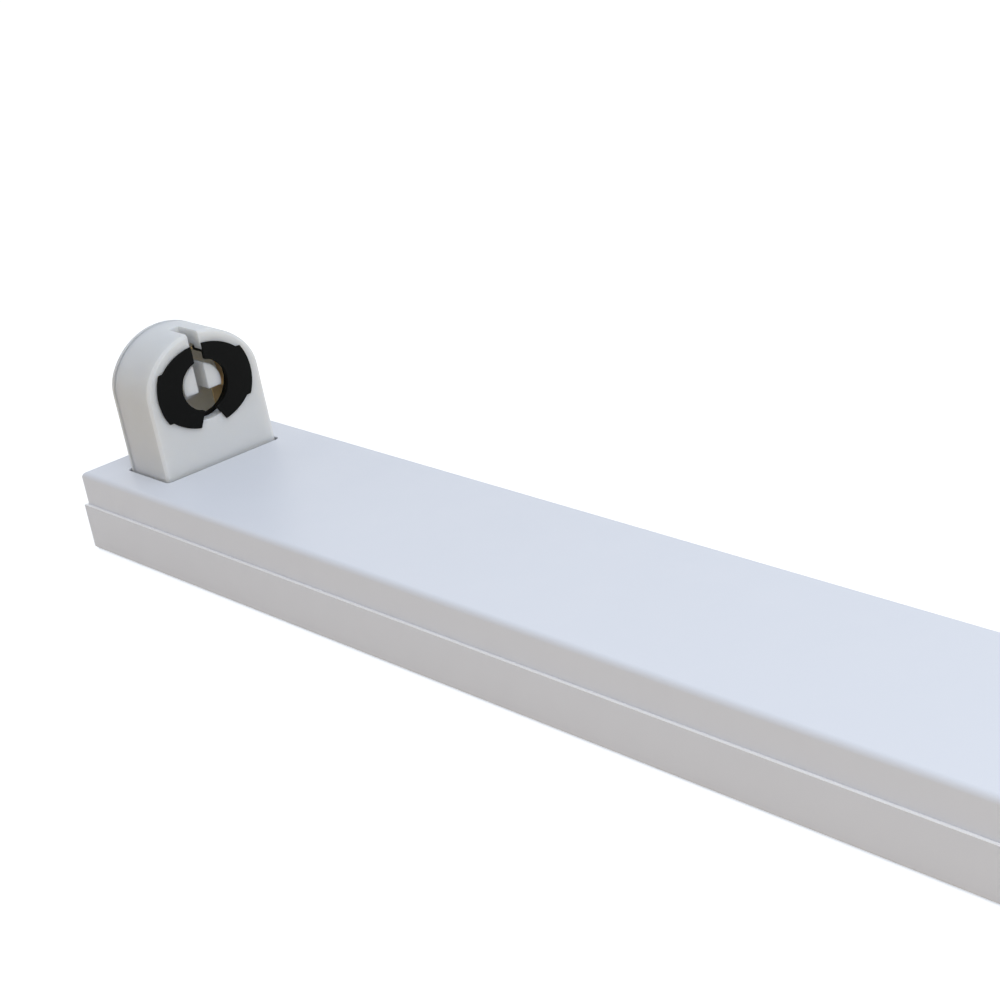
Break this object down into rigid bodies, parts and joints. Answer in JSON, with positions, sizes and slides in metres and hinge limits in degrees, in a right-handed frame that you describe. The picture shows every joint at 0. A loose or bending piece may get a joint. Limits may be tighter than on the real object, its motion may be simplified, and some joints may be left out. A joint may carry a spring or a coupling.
{
  "type": "tube light fixture",
  "caption": "Surface-mounted sheet-steel batten for a straight tube lamp, with a turn-to-lock lampholder at each end and control gear inside.",
  "frame": {"origin": "middle of the flat mounting back", "axes": "+X along the lamp, +Y across the batten, +Z from the mounting back to the lamp side"},
  "size_m": [0.652, 0.0466, 0.0511],
  "materials": {
    "painted_steel": "satin white powder coat",
    "holder_plastic": "white moulded plastic",
    "rotor_plastic": "black moulded plastic",
    "contact_brass": "bright spring brass",
    "zinc_steel": "zinc plated sheet steel",
    "spring_steel": "spring steel",
    "rubber_black": "matte rubber",
    "board_green": "glass-fibre circuit board",
    "terminal_plastic": "natural moulded plastic",
    "wire_white": "insulated wire",
    "wire_brown": "insulated wire",
    "wire_blue": "insulated wire",
    "wire_green": "insulated wire"
  },
  "bodies": {
    "fixture": {"base_tray": "painted_steel", "bracket_rivets": "zinc_steel", "cover_clips": "spring_steel", "cable_grommet": "rubber_black", "ballast_case": "zinc_steel", "ballast_lid": "zinc_steel", "ballast_board": "board_green", "ballast_mains_connector": "terminal_plastic", "ballast_lamp_connector": "terminal_plastic", "ballast_screws": "zinc_steel", "terminal_body": "terminal_plastic", "terminal_inserts": "contact_brass", "terminal_screws": "zinc_steel", "earth_stud": "zinc_steel", "earth_lug": "contact_brass", "earth_washer": "zinc_steel", "earth_nut": "zinc_steel", "lead_live": "wire_brown", "lead_neutral": "wire_blue", "lead_earth": "wire_green", "lead_clips": "terminal_plastic", "holder_bracket_left": "zinc_steel", "holder_housing_left": "holder_plastic", "holder_rear_cover_left": "holder_plastic", "holder_contact_a_left": "contact_brass", "holder_contact_b_left": "contact_brass", "lead_left_a": "wire_white", "lead_left_b": "wire_white", "holder_bracket_right": "zinc_steel", "holder_housing_right": "holder_plastic", "holder_rear_cover_right": "holder_plastic", "holder_contact_a_right": "contact_brass", "holder_contact_b_right": "contact_brass", "lead_right_a": "wire_white", "lead_right_b": "wire_white"},
    "cover": {"cover": "painted_steel"},
    "rotor_left": {"holder_rotor_left": "rotor_plastic"},
    "rotor_right": {"holder_rotor_right": "rotor_plastic"}
  },
  "joints": [
    {"name": "cover_lift", "type": "slide", "parent": "fixture", "child": "cover", "axis": [0, 0, 1], "range_m": [0, 0.05]},
    {"name": "rotor_left_turn", "type": "hinge", "parent": "fixture", "child": "rotor_left", "pos_m": [-0.2961, 0, 0.0383], "axis": [1, 0, 0], "range_deg": [0, 90]},
    {"name": "rotor_right_turn", "type": "hinge", "parent": "fixture", "child": "rotor_right", "pos_m": [0.2961, 0, 0.0383], "axis": [-1, 0, 0], "range_deg": [0, 90]}
  ]
}
